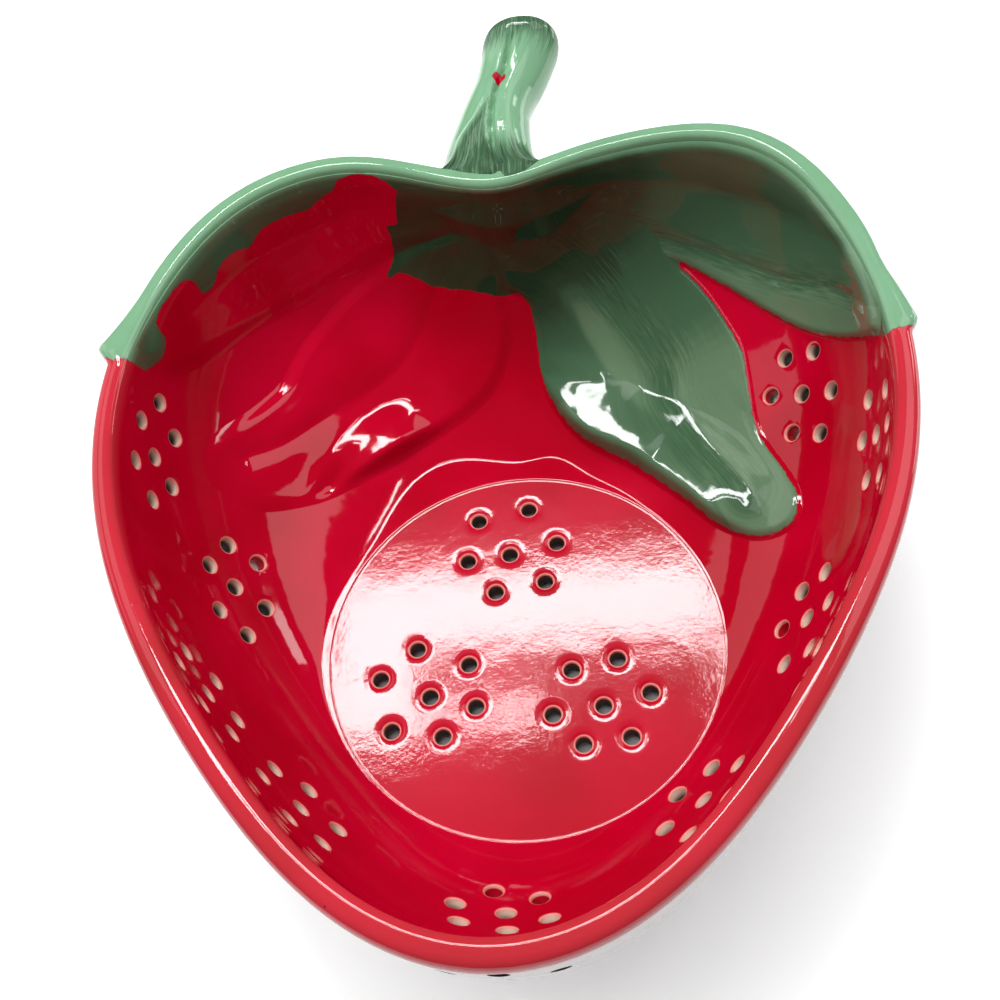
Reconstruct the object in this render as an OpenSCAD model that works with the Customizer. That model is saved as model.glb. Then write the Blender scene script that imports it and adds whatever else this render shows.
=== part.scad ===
// Strawberry-shaped berry colander bowl in glazed earthenware.
// The bowl stands on a turned foot. Its lip, leaves and stem are formed pieces laid on the wall.

/* [Bowl] */
// Width of the bowl over the lip
bowl_w = 195; // [160:1:230]
// Height from the table to the top of the lip
bowl_h = 70; // [60:1:84]
// Radius of the round flat floor
floor_r = 52; // [44:1:58]
// Thickness of the floor
floor_t = 5; // [4:0.5:7]
// Thickness of the wall where it meets the floor
wall_t = 4.5; // [3.5:0.5:6]

/* [Lip] */
// Width of the rolled lip
lip_w = 6.5; // [5:0.5:8]
// Height of the lip above the wall's top edge
lip_h = 5; // [4:0.5:7]
// How far the roll stands out past the wall
lip_roll = 1; // [0.5:0.1:1.5]
// Height of the rounding along the lip's top
lip_round = 2.8; // [2:0.1:3.5]

/* [Foot] */
// Height of the foot ring under the floor
foot_h = 3; // [2:0.5:5]
// Width of the foot ring
foot_w = 6; // [4:0.5:8]
// Radius of the three drain arches through the foot ring
arch_r = 2; // [1:0.25:2.5]

/* [Drain holes] */
// Diameter of a drain hole
drain_d = 4.4; // [3:0.1:5.5]
// Distance between neighbouring holes of a floor cluster
floor_pitch = 13; // [11:0.5:14]
// Distance between neighbouring holes of a wall cluster
wall_pitch = 11.5; // [9:0.5:12]
// Diameter of the dish round a hole in the floor
dish_d = 8.4; // [6:0.2:9.5]
// Depth of that dish
dish_depth = 0.9; // [0.4:0.1:1.4]
// Distance from the floor's centre to the middle of each floor cluster
cluster_r = 26.5; // [24:0.5:28]

/* [Leaves] */
// Thickness of a leaf along its middle
leaf_t = 2.2; // [1.5:0.1:3]
// Thickness of a leaf along its edge
leaf_edge_t = 0.9; // [0.5:0.1:1.2]
// Depth of the groove along a leaf's midrib
rib_groove = 0.7; // [0.3:0.1:1]
// Outward reach of the two pointed lobes of the calyx
lobe_out = 3; // [1:0.5:5]

/* [Stem] */
// Thickness of the stem at its waist
stem_w = 17.5; // [14:0.5:20]
// Width of the flared root where the stem grows from the lip
stem_root_w = 31; // [24:1:36]
// Length of the stem beyond the lip
stem_l = 46; // [36:1:56]
// Rise of the stem's end above the lip
stem_rise = 11; // [5:1:18]
// Sideways lean of the stem's end
stem_lean = 9; // [0:1:12]

/* [Hidden] */

// Clearances between pieces that seat on each other
seat_gap = 0.05;
leaf_gap = 0.3;
// Overrun of every cut
over = 1;

// Reach of the lip's outer edge from the bowl's axis, every 15 degrees from the stem round to the tip,
// in half widths
outline_shares = [1.06, 1.26, 1.40, 1.28, 1.15, 1.02, 0.92, 0.85, 0.82, 0.83, 0.88, 0.95, 0.99];
// Fullness of the wall's curve from the floor up to the lip, where 2 is a quarter ellipse
wall_bow = 2.1;

half_w = bowl_w / 2;
floor_top = foot_h + floor_t;
lip_z = bowl_h - lip_h;
foot_r = floor_r + wall_t;
around = 96;

// Even cubic spline through a closed or open run of control values
function blend(a, b, c, d, t) = (a * pow(1 - t, 3) + b * (3 * pow(t, 3) - 6 * t * t + 4)
                                 + c * (1 + 3 * t + 3 * t * t - 3 * pow(t, 3)) + d * pow(t, 3)) / 6;
function held(list, i) = list[max(0, min(len(list) - 1, i))];
function along(list, t) = let (s = t * (len(list) + 1) - 1, i = min(floor(s), len(list) - 1), f = s - i)
    blend(held(list, i - 1), held(list, i), held(list, i + 1), held(list, i + 2), f);

// Reach of the lip's outer edge at an angle from the stem
function mirrored(i) = let (last = len(outline_shares) - 1, m = abs(i) % (2 * last))
    outline_shares[m > last ? 2 * last - m : m];
function reach(a) = let (s = abs(a) / 15, i = floor(s), f = s - i)
    half_w * blend(mirrored(i - 1), mirrored(i), mirrored(i + 1), mirrored(i + 2), f);

// Plan centre: the stem's end and the bowl's tip lie equally far from the origin
stem_end_y = reach(0) + stem_l;
centre_y = (reach(180) - stem_end_y) / 2;
function polar(a, r, z) = [r * sin(a), centre_y + r * cos(a), z];

// Wall curve: u runs from 0 at the floor to 1 at the lip's top
function out_share(u) = pow(sin(90 * u), 2 / wall_bow);
function up_share(u) = 1 - pow(cos(90 * u), 2 / wall_bow);
function u_at(z, z0) = acos(pow(1 - (z - z0) / (bowl_h - z0), wall_bow / 2)) / 90;
u_in = u_at(lip_z, floor_top);
u_out = u_at(lip_z, foot_h);
function inner(a, u) = polar(a, floor_r + (reach(a) - lip_w - floor_r) * out_share(u),
                             floor_top + (bowl_h - floor_top) * up_share(u));
function outer(a, u) = polar(a, foot_r + (reach(a) - lip_roll - foot_r) * out_share(u),
                             foot_h + (bowl_h - foot_h) * up_share(u));

// Inward normal of the inner wall
function unit(v) = v / norm(v);
step_a = 0.5;
step_u = 0.005;
function into_bowl(a, u) = unit(cross(inner(a + step_a, u) - inner(a - step_a, u),
                                      inner(a, u + step_u) - inner(a, u - step_u)));

// A closed skin from rings of points, the last ring joined to the first
module torus_skin(rings) {
    n = len(rings[0]);
    count = len(rings);
    points = [for (ring = rings) each ring];
    faces = [for (i = [0:count - 1], j = [0:n - 1])
        let (k = (i + 1) % count, m = (j + 1) % n)
        each [[i * n + j, i * n + m, k * n + m], [i * n + j, k * n + m, k * n + j]]];
    polyhedron(points, faces, convexity = 8);
}

// A skin from a row of closed rings, with a flat cap at each end
module capped_skin(rings) {
    n = len(rings[0]);
    count = len(rings);
    points = [for (ring = rings) each ring];
    faces = [
        [for (j = [n - 1:-1:0]) j],
        [for (j = [0:n - 1]) (count - 1) * n + j],
        for (i = [0:count - 2], j = [0:n - 1])
            let (m = (j + 1) % n)
            each [[i * n + j, i * n + m, (i + 1) * n + m], [i * n + j, (i + 1) * n + m, (i + 1) * n + j]]];
    polyhedron(points, faces, convexity = 8);
}

// Wall

wall_rows = 11;
// Where the wall's curve starts, just outside the floor's seat
u_start = 0.02;
// Wall clusters: angle from the stem, place up the wall, and turn of the pattern
cluster_shares = [
    [52, 0.53, 51], [72, 0.78, 5], [94, 0.44, 25], [112, 0.78, 51], [136, 0.50, 36], [180, 0.78, 30],
    [-176, 0.38, 46], [-135, 0.57, 56], [-110, 0.78, 9], [-80, 0.43, 25], [-67, 0.78, 19]];

// Depth of a drain hole through the thickest wall
drill_l = wall_t + floor_t + lip_w;

// Seven holes: one in the middle and six round it
function seven(pitch, turn) = [[0, 0], for (k = [0:5]) pitch * [cos(60 * k + turn), sin(60 * k + turn)]];

module wall_drill(a, u) {
    p = inner(a, u);
    n = into_bowl(a, u);
    tilt = acos(n[2]);
    turn = atan2(n[1], n[0]);
    translate(p) rotate([0, tilt, turn]) translate([0, 0, -drill_l])
        cylinder(d = drain_d, h = drill_l + over, $fn = 24);
}

module wall_cluster(a, u, turn) {
    side = norm(inner(a + step_a, u) - inner(a - step_a, u)) / (2 * step_a);
    up = norm(inner(a, u + step_u) - inner(a, u - step_u)) / (2 * step_u);
    for (p = seven(wall_pitch, turn))
        wall_drill(a + p[0] / side, u + p[1] / up);
}

module bowl_wall() {
    rings = [for (k = [0:around - 1]) let (a = -360 * k / around) concat(
        [polar(a, floor_r - over, foot_h), polar(a, floor_r - over, floor_top)],
        [for (i = [0:wall_rows]) inner(a, u_start + (u_in - u_start) * i / wall_rows)],
        [for (i = [wall_rows:-1:0]) outer(a, u_out * i / wall_rows)])];
    color("firebrick") difference() {
        torus_skin(rings);
        translate([0, centre_y, 0]) cylinder(r = floor_r, h = floor_top + over, $fn = 120);
        for (c = cluster_shares) wall_cluster(c[0], c[1], c[2]);
    }
}

// Floor and foot

module dished_hole() {
    translate([0, 0, -over]) cylinder(d = drain_d, h = floor_top + 2 * over, $fn = 24);
    translate([0, 0, floor_top - dish_depth])
        cylinder(d1 = drain_d, d2 = dish_d, h = dish_depth, $fn = 32);
}

// Floor clusters: place round the floor and turn of the pattern
floor_cluster_shares = [[96, 11], [210, 43], [317, 8]];
// The floor's edge is a low bead, the ring seen inside the bowl
bead_w = 1.6;
bead_h = 0.4;

module bowl_floor() {
    edge = floor_r - seat_gap;
    color("crimson") translate([0, centre_y, 0]) difference() {
        rotate_extrude($fn = 120) polygon([
            [0, foot_h], [edge, foot_h], [edge, floor_top - bead_h], [edge - bead_w / 2, floor_top + bead_h],
            [edge - bead_w, floor_top], [0, floor_top]]);
        for (c = floor_cluster_shares, p = seven(floor_pitch, c[1]))
            translate([cluster_r * cos(c[0]) + p[0], cluster_r * sin(c[0]) + p[1], 0]) dished_hole();
    }
}

module foot_ring() {
    color("linen") translate([0, centre_y, 0]) difference() {
        cylinder(r = foot_r, h = foot_h, $fn = 120);
        translate([0, 0, -over]) cylinder(r = foot_r - foot_w, h = foot_h + 2 * over, $fn = 120);
        for (k = [0:2])
            rotate([0, 90, 30 + 120 * k]) cylinder(r = arch_r, h = foot_r + over, $fn = 24);
    }
}

// Lip

lip_arc = 5;

// Section of the lip at an angle, pushed out by some length
function lip_section(a, push) = let (r = reach(a), half = lip_w / 2, mid = r - half) [
    inner(a, u_in),
    for (k = [0:lip_arc])
        let (t = 180 - 180 * k / lip_arc)
        polar(a, mid + half * cos(t) + push * k / lip_arc, bowl_h - lip_round + lip_round * sin(t)),
    outer(a, u_out)];

// Angle where the green lip ends in a lobe and the red one starts
lobe_a = 58;
// Length of the lobe's point along the lip, as an angle
lobe_span = 15;
function lobe_push(a) = lobe_out * pow(max(0, 1 - (lobe_a - abs(a)) / lobe_span), 2);
joint_a = 0.1;

module red_lip() {
    span = 360 - 2 * lobe_a - joint_a;
    steps = 64;
    rings = [for (k = [0:steps]) let (a = lobe_a + joint_a / 2 + span * k / steps)
        lip_section(a > 180 ? a - 360 : a, 0)];
    color("crimson") capped_skin(rings);
}

module calyx_lip() {
    span = 2 * lobe_a - joint_a;
    steps = 48;
    rings = [for (k = [0:steps]) let (a = -span / 2 + span * k / steps) lip_section(a, lobe_push(a))];
    color("seagreen") capped_skin(rings);
}

// Leaves

leaf_rows = 20;
leaf_cols = 8;

// A leaf laid on the inner wall between two edges, each a run of [angle, place up the wall]
module leaf_on_wall(edge_a, edge_b, thick) {
    place = function (i, j) let (t = i / leaf_rows, v = j / leaf_cols)
        along(edge_a, t) * (1 - v) + along(edge_b, t) * v;
    crown_at = function (i, j) let (v = j / leaf_cols, across = sin(180 * v), ends = sin(180 * i / leaf_rows))
        leaf_edge_t + (thick - leaf_edge_t) * sqrt(across) * sqrt(max(0, ends))
        - rib_groove * pow(across, 12) * ends;
    back = [for (i = [0:leaf_rows], j = [0:leaf_cols])
        let (p = place(i, j)) inner(p[0], p[1]) + leaf_gap * into_bowl(p[0], p[1])];
    front = [for (i = [0:leaf_rows], j = [0:leaf_cols])
        let (p = place(i, j)) inner(p[0], p[1]) + (leaf_gap + crown_at(i, j)) * into_bowl(p[0], p[1])];
    cols = leaf_cols + 1;
    rows = leaf_rows + 1;
    far = cols * rows;
    back_tris = [for (i = [0:leaf_rows - 1], j = [0:leaf_cols - 1])
        let (a = i * cols + j) each [[a, a + cols + 1, a + cols], [a, a + 1, a + cols + 1]]];
    front_tris = [for (f = back_tris) [f[2] + far, f[1] + far, f[0] + far]];
    border = concat(
        [for (j = [0:leaf_cols - 1]) j],
        [for (i = [0:leaf_rows - 1]) i * cols + leaf_cols],
        [for (j = [leaf_cols:-1:1]) leaf_rows * cols + j],
        [for (i = [leaf_rows:-1:1]) i * cols]);
    n = len(border);
    side_tris = [for (k = [0:n - 1])
        let (a = border[k], b = border[(k + 1) % n]) each [[a, b + far, b], [a, a + far, b + far]]];
    polyhedron(concat(back, front), concat(back_tris, front_tris, side_tris), convexity = 8);
}

// Edges of the leaves on the wall, from the crown to the tip
right_fold_shares = [[11, 0.80], [16, 0.73], [24, 0.60]];
right_rim_low_shares = concat(right_fold_shares, [[33, 0.54], [44, 0.57], [52, 0.68], [58, 0.86], [61, 0.92]]);
right_rim_high_shares = [[11, 0.93], [24, 0.935], [38, 0.935], [50, 0.935], [58, 0.935], [62, 0.935]];
centre_low_shares = [[0.5, 0.78], [0.5, 0.62], [3, 0.40], [6, 0.20], [16, 0.03], [34, 0.02], [52, 0.02],
                     [64, 0.08], [69, 0.18]];
centre_high_shares = [[10, 0.78], [15, 0.72], [23, 0.59], [30, 0.49], [38, 0.41], [47, 0.34], [57, 0.32],
                      [66, 0.33], [70, 0.23]];
left_fold_shares = [[-11, 0.80], [-16, 0.74], [-21, 0.69]];
left_rim_low_shares = concat(left_fold_shares, [[-31, 0.67], [-42, 0.70], [-50, 0.79], [-57, 0.90], [-60, 0.92]]);
left_rim_high_shares = [[-11, 0.93], [-24, 0.935], [-38, 0.935], [-50, 0.935], [-58, 0.935], [-61, 0.935]];
left_low_shares = [[-1, 0.78], [-1, 0.62], [-5, 0.34], [-16, 0.16], [-32, 0.08], [-47, 0.17], [-59, 0.32],
                   [-64, 0.48]];
left_high_shares = [[-10, 0.78], [-15, 0.73], [-21, 0.66], [-28, 0.58], [-37, 0.53], [-48, 0.52], [-57, 0.60],
                    [-63, 0.55]];
crown_left_shares = [[-10, 0.80], [-10, 0.86], [-10, 0.93]];
crown_right_shares = [[10, 0.80], [10, 0.86], [10, 0.93]];

module leaf_right_rim() {
    color("seagreen") leaf_on_wall(right_rim_low_shares, right_rim_high_shares, leaf_t);
}

module leaf_centre() {
    color("mediumseagreen") leaf_on_wall(centre_high_shares, centre_low_shares, leaf_t);
}

module leaf_left_rim() {
    color("seagreen") leaf_on_wall(left_rim_high_shares, left_rim_low_shares, leaf_t);
}

module leaf_left() {
    color("indianred") leaf_on_wall(left_low_shares, left_high_shares, leaf_t);
}

module crown() {
    color("darkgreen") leaf_on_wall(crown_left_shares, crown_right_shares, leaf_t);
}

// Stem

stem_sides = 24;
stem_rows = 12;
// Length of the stem's rounded end
stem_end_l = stem_w * 0.4;
// How far each section swells from the waist's width towards the root's
stem_swell_shares = [1, 0.72, 0.4, 0.17, 0.04, 0, 0, 0.03, 0.08, 0.1];
// Depth of the root below the lip, and of the stem's middle below the wall's top edge there
root_low = stem_w * 0.55;
stem_drop = stem_w * 0.1;

// Seat of the root on the outside of the wall and lip, as rings that grow from a point
function root_ring(grow) = [for (j = [0:stem_sides - 1])
    let (b = 360 * j / stem_sides,
         a = asin(stem_root_w / 2 * cos(b) * grow / reach(0)),
         z = lip_z + grow * sin(b) * (sin(b) > 0 ? lip_h - lip_round : root_low))
    z > lip_z ? outer(a, u_out) + [0, seat_gap, z - lip_z] : outer(a, u_at(z, foot_h)) + [0, seat_gap, 0]];

// Middle of the stem, leaning sideways and rising towards its end
function stem_mid(t) = [stem_lean * pow(t, 1.6), centre_y + reach(0) + (stem_l - stem_end_l) * t,
                        lip_z - stem_drop + (stem_rise + stem_drop) * pow(t, 1.2)];
function stem_ring(t, shrink, ahead) = let (
    wide = (stem_w + (stem_root_w - stem_w) * along(stem_swell_shares, t)) / 2 * shrink,
    tall = stem_w * 0.45 * shrink)
    [for (j = [0:stem_sides - 1])
        let (b = 360 * j / stem_sides) stem_mid(t) + [wide * cos(b), ahead, tall * sin(b)]];

module stem_handle() {
    root = [for (grow = [0.02, 0.35, 0.7, 1]) root_ring(grow)];
    body = [for (i = [1:stem_rows]) stem_ring(i / stem_rows, 1, 0)];
    end = [for (k = [1:4]) stem_ring(1, cos(21 * k), stem_end_l * sin(21 * k))];
    color("mediumseagreen") capped_skin(concat(root, body, end));
}

bowl_wall();
bowl_floor();
foot_ring();
red_lip();
calyx_lip();
crown();
leaf_right_rim();
leaf_centre();
leaf_left_rim();
leaf_left();
stem_handle();
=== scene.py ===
import bpy
import math
import numpy as np
from mathutils import Matrix, Vector


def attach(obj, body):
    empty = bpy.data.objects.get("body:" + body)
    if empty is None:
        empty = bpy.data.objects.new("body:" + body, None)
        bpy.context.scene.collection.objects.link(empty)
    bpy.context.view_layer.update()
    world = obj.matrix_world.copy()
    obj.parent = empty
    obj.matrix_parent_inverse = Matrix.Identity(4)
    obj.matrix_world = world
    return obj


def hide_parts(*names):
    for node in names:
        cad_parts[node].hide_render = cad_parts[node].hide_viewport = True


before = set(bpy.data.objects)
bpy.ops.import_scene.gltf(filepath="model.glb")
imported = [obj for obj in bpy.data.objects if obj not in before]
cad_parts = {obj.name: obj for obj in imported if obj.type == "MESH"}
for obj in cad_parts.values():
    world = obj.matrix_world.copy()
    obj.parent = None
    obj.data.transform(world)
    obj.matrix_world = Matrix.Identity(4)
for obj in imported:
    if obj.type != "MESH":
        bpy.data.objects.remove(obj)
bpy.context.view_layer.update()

# Bowl wall and lip
# One strawberry-shaped earthenware wall, cast in a mould, with a rolled lip sponged round by hand.
# Red glaze inside, green glaze over the lip between the two pointed lobes, white outside.

# Sizes are in mm and angles in degrees round from the stem, below zero on the left. A place on the
# inner wall is an angle and a share of the wall's curve, 0 at the floor and 1 at the top
MM = 0.001
CENTRE_Y = -30.3125
HALF_W = 97.5
OUTLINE_STEP = 15.0
OUTLINE_SHARES = (1.06, 1.26, 1.40, 1.28, 1.15, 1.02, 0.92, 0.85, 0.82, 0.83, 0.88, 0.95, 0.99)
# Where the clay was pressed fuller by hand: angle, spread and mm
LIP_BULGES = ((-62, 30, 1.7), (-110, 30, 0.8), (-19, 8, 2.0), (31, 14, 3.0), (10, 7, 1.2))
FLAT_BULGES = ((-23, 22, 12.0), (9, 9, 5.0), (22, 16, 2.0), (-85, 25, 2.0))
CREASE_BULGES = ((-25, 30, 1.3),)
FLOOR_R, FLOOR_Z, FOOT_R, FOOT_Z, TOP_Z = 52.0, 8.0, 56.5, 3.0, 70.0
# The floor's rim reaches a little under the wall, and its ring stands nearer to the fruit's tip
FLOOR_RIM = FLOOR_R + 0.3
RING_BACK = 1.4
# The lip's width, the rise of its roll, how far it stands out past the wall, and where it starts
LIP_W, LIP_ROUND, LIP_ROLL, LIP_Z = 6.5, 3.4, 1.0, 65.0
# Fullness of the wall's curve, inside and outside, and the angle of the crease that it rises from
BOW, OUTER_BOW, START = 2.25, 2.1, 22.0


def bulges(a, places):
    """Sum of the soft bulges at an angle, in mm."""
    return sum(more * np.exp(-((np.asarray(a) - at) / wide) ** 2) for at, wide, more in places)


def reach(a):
    """Distance from the bowl's axis to the lip's outer edge, at an angle from the stem."""
    s = np.abs(a) / OUTLINE_STEP
    i = np.floor(s).astype(int)
    f = s - i
    last = len(OUTLINE_SHARES) - 1
    # A cubic spline near the shares, mirrored at both ends
    weights = ((1 - f) ** 3, 3 * f ** 3 - 6 * f * f + 4, 1 + 3 * f + 3 * f * f - 3 * f ** 3, f ** 3)
    total = 0.0
    for k, w in zip((-1, 0, 1, 2), weights):
        m = np.abs(i + k) % (2 * last)
        m = np.where(m > last, 2 * last - m, m)
        total = total + np.asarray(OUTLINE_SHARES)[m] * w
    return HALF_W * total / 6 + bulges(a, LIP_BULGES)


def polar(a, r, z):
    """Points at an angle and a distance from the bowl's axis."""
    rad = np.radians(a)
    return np.stack(np.broadcast_arrays(r * np.sin(rad), CENTRE_Y + r * np.cos(rad), z), -1)


def flat_reach(a):
    """Where the flat of the floor ends and the wall starts to rise."""
    return FLOOR_RIM - RING_BACK * np.cos(np.radians(a)) + bulges(a, FLAT_BULGES)


def curve(u, start=START, bow=BOW):
    """Shares of the way out and of the way up along the wall's curve, from a crease at its start."""
    t = np.radians(start + (90 - start) * np.asarray(u))
    out, up = np.sin(t) ** (2 / bow), 1 - np.cos(t) ** (2 / bow)
    t0 = math.radians(start)
    out0, up0 = math.sin(t0) ** (2 / bow), 1 - math.cos(t0) ** (2 / bow)
    return (out - out0) / (1 - out0), (up - up0) / (1 - up0)


def inner(a, u):
    out, up = curve(u)
    return polar(a, flat_reach(a) + (reach(a) - LIP_W - flat_reach(a)) * out,
                 FLOOR_Z + (TOP_Z - FLOOR_Z) * up)


def outer(a, u, more=0.0):
    out, up = curve(u, 0.0, OUTER_BOW)
    return polar(a, FOOT_R + (reach(a) - LIP_ROLL - FOOT_R) * out + more, FOOT_Z + (TOP_Z - FOOT_Z) * up)


# The lean of the wall is measured between these places, away from the crease and the rolled lip
LOW_U, HIGH_U = 0.012, 0.985


def into_bowl(a, u):
    """Unit normal of the inner wall, into the bowl."""
    u = np.clip(u, LOW_U, HIGH_U)
    da = inner(a + 0.4, u) - inner(a - 0.4, u)
    du = inner(a, u + 0.004) - inner(a, u - 0.004)
    n = np.cross(da, du)
    return n / np.linalg.norm(n, axis=-1, keepdims=True)


def at_height(q):
    """Place along the inner wall's curve, 0 to 1, at a share of its height."""
    low = math.cos(math.radians(START)) ** (2 / BOW)
    t = np.degrees(np.arccos((low * np.clip(1 - np.asarray(q, float), 0, 1)) ** (BOW / 2)))
    return (t - START) / (90 - START)


# Where the roll of the lip starts, inside and outside
U_IN = float(at_height((LIP_Z - FLOOR_Z) / (TOP_Z - FLOOR_Z)))
U_OUT = 0.95


def smoothstep(x, low, high):
    t = np.clip((x - low) / (high - low), 0, 1)
    return t * t * (3 - 2 * t)


# The lobes: where they point, over how many degrees they grow, how far they stand out, and how
# much the lip is drawn in before them, left and right
LEFT_LOBE, RIGHT_LOBE = 60.6, 64.8
LOBE_LONG = 10
LEFT_OUT, RIGHT_OUT = 4.4, 2.3
LEFT_NECK, RIGHT_NECK = 0.3, 0.9


def lobe(a):
    """How far the green lip's two ends stand out past the red lip."""
    x = np.where(a < 0, -a - LEFT_LOBE, a - RIGHT_LOBE)
    grown = np.clip((x + LOBE_LONG + 1) / LOBE_LONG, 0, 1) ** 2.2
    neck = np.where(a < 0, LEFT_NECK, RIGHT_NECK) * np.exp(-((x + LOBE_LONG) / 3.5) ** 2)
    return np.where(a < 0, LEFT_OUT, RIGHT_OUT) * grown * smoothstep(x, 0.9, -0.7) - neck


def deselect():
    if bpy.context.object and bpy.context.object.mode != "OBJECT":
        bpy.ops.object.mode_set(mode="OBJECT")
    for o in bpy.context.selected_objects:
        o.select_set(False)


def only(obj):
    deselect()
    obj.select_set(True)
    bpy.context.view_layer.objects.active = obj


def coords(obj):
    co = np.empty(len(obj.data.vertices) * 3)
    obj.data.vertices.foreach_get("co", co)
    return co.reshape(-1, 3)


def place(obj, co_mm):
    obj.data.vertices.foreach_set("co", (np.asarray(co_mm) * MM).ravel())
    obj.data.update()


def in_edit(obj, step, **words):
    """Runs an edit-mode operator on all of a mesh."""
    only(obj)
    bpy.ops.object.mode_set(mode="EDIT")
    bpy.ops.mesh.select_all(action="SELECT")
    step(**words)
    bpy.ops.object.mode_set(mode="OBJECT")


def outwards(obj):
    in_edit(obj, bpy.ops.mesh.normals_make_consistent, inside=False)


def smooth(obj, angle):
    only(obj)
    bpy.ops.object.shade_smooth_by_angle(angle=math.radians(angle))


def apply_modifier(obj, kind, **words):
    only(obj)
    m = obj.modifiers.new(kind.title(), kind)
    for k, v in words.items():
        setattr(m, k, v)
    bpy.ops.object.modifier_apply(modifier=m.name)


def write_values(obj, **values):
    """Numbers that change over the surface, which the materials read by name."""
    for name, v in values.items():
        layer = obj.data.attributes.get(name) or obj.data.attributes.new(name, "FLOAT", "POINT")
        layer.data.foreach_set("value", np.asarray(v, float))


# Edge of the green glaze, brushed by hand from the left lobe round to the right one: angle from the
# stem, share of the wall's height
LEFT_FRINGE = (
    (-60.3, 1.03), (-59.4, 0.95), (-58.2, 0.85), (-57, 0.831), (-55.2, 0.807), (-53.8, 0.824),
    (-53, 0.845), (-52.8, 0.903), (-52.5, 0.935), (-51.6, 0.945), (-50, 0.949), (-48.5, 0.942),
    (-46.4, 0.942), (-44.8, 0.923), (-44.1, 0.862), (-44.2, 0.805), (-43.1, 0.784), (-41.7, 0.783),
    (-40.6, 0.828), (-39, 0.838), (-37.1, 0.832), (-34.8, 0.798), (-34.2, 0.813), (-32.5, 0.842),
    (-30.4, 0.842), (-28.6, 0.843), (-25.9, 0.826), (-23.3, 0.877), (-21.8, 0.9), (-21.2, 0.944),
    (-19.8, 0.963), (-17.5, 0.969), (-15.3, 0.95), (-14.2, 0.923), (-13.7, 0.897), (-14.3, 0.852),
    (-14.6, 0.794), (-14.8, 0.729), (-15, 0.712), (-16.7, 0.703), (-16.2, 0.66), (-16.5, 0.601),
    (-17.2, 0.527), (-18.8, 0.459), (-17.9, 0.464), (-17, 0.486), (-15.6, 0.485), (-13.9, 0.472),
    (-12.3, 0.446), (-9.9, 0.454), (-6.9, 0.469), (-4, 0.464), (-1.9, 0.446), (-0.1, 0.448))
CENTRE_LEFT = (
    (0.9, 0.459), (2.1, 0.437), (3.2, 0.391), (3.8, 0.305), (4.4, 0.23), (4.6, 0.178), (5.6, 0.13),
    (7.8, 0.083), (11.4, 0.046), (16.5, 0.032), (22.6, 0.028), (28.8, 0.026), (37, 0.025),
    (43.8, 0.028), (50.4, 0.033), (55.7, 0.037), (60.9, 0.046), (64.9, 0.062), (68.8, 0.088))
CENTRE_RIGHT = (
    (71.1, 0.125), (72.2, 0.168), (72.3, 0.206), (70.8, 0.23), (67.5, 0.237), (64.5, 0.229),
    (60.4, 0.215), (56.2, 0.203), (52.4, 0.2), (49.1, 0.209), (46.3, 0.229), (43.4, 0.254), (40, 0.292),
    (36.9, 0.309), (33.6, 0.331), (30.7, 0.361), (27.8, 0.395), (25, 0.432))
RIGHT_LOW = (
    (25.4, 0.446), (27.1, 0.432), (30, 0.412), (33.6, 0.406), (37.6, 0.411), (41.7, 0.431),
    (45.9, 0.468), (49.9, 0.523), (53.7, 0.603), (57.6, 0.717), (61.8, 0.871), (64.2, 0.95),
    (64.8, 1.03))


def on_wall(points):
    """Places on the wall for points that are given by their height."""
    p = np.asarray(points, float)
    return np.stack([p[:, 0], at_height(np.minimum(p[:, 1], 0.9999)) + np.maximum(p[:, 1] - 1, 0)], -1)


def rounded(line, times=2):
    """Corner cutting, so that an outline runs like a brush stroke."""
    for _ in range(times):
        a, b = line[:-1], line[1:]
        mid = np.empty((2 * len(a), 2))
        mid[0::2], mid[1::2] = a * 0.75 + b * 0.25, a * 0.25 + b * 0.75
        line = np.vstack([line[:1], mid, line[-1:]])
    return line


def inside(ring, a, u):
    """Even-odd test of wall places against a closed outline."""
    hit = np.zeros(len(a), bool)
    for (x0, y0), (x1, y1) in zip(ring, np.roll(ring, -1, 0)):
        if y0 == y1:
            continue
        cross = ((y0 > u) != (y1 > u)) & (a < (x1 - x0) * (u - y0) / (y1 - y0) + x0)
        hit ^= cross
    return hit


def gap_to(line, a, u):
    """Distance in mm from each place to a run of places, how far along it, and on which side."""
    pts = inner(line[:, 0], np.clip(line[:, 1], 0, 1))
    here = inner(a, np.clip(u, 0, 1))
    best = np.full(len(a), np.inf)
    along = np.zeros(len(a))
    side = np.zeros(len(a))
    length = 0.0
    for i in range(len(pts) - 1):
        p, d = pts[i], pts[i + 1] - pts[i]
        size = np.linalg.norm(d)
        if size < 1e-6:
            continue
        t = np.clip((here - p) @ d / size ** 2, 0, 1)
        away = np.linalg.norm(here - p - t[:, None] * d, axis=1)
        near = away < best
        best[near] = away[near]
        along[near] = (length + t * size)[near]
        step_a, step_u = line[i + 1] - line[i]
        side[near] = np.sign(step_a * (u - line[i, 1]) - step_u * (a - line[i, 0]))[near]
        length += size
    return best, along, side


# The edge is closed into a ring by a line well above the lip
ABOVE_LIP = 2.0
GREEN_EDGE = rounded(on_wall(LEFT_FRINGE + CENTRE_LEFT + CENTRE_RIGHT + RIGHT_LOW))
GREEN_RING = np.vstack([GREEN_EDGE, [[RIGHT_LOW[-1][0], ABOVE_LIP], [LEFT_FRINGE[0][0], ABOVE_LIP]]])


def green_reach(a, u):
    """How deep in the green glaze a place on the wall lies, in mm, below zero on the red."""
    d = gap_to(GREEN_EDGE, a, u)[0]
    return np.where(inside(GREEN_RING, a, u), d, -d)


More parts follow.
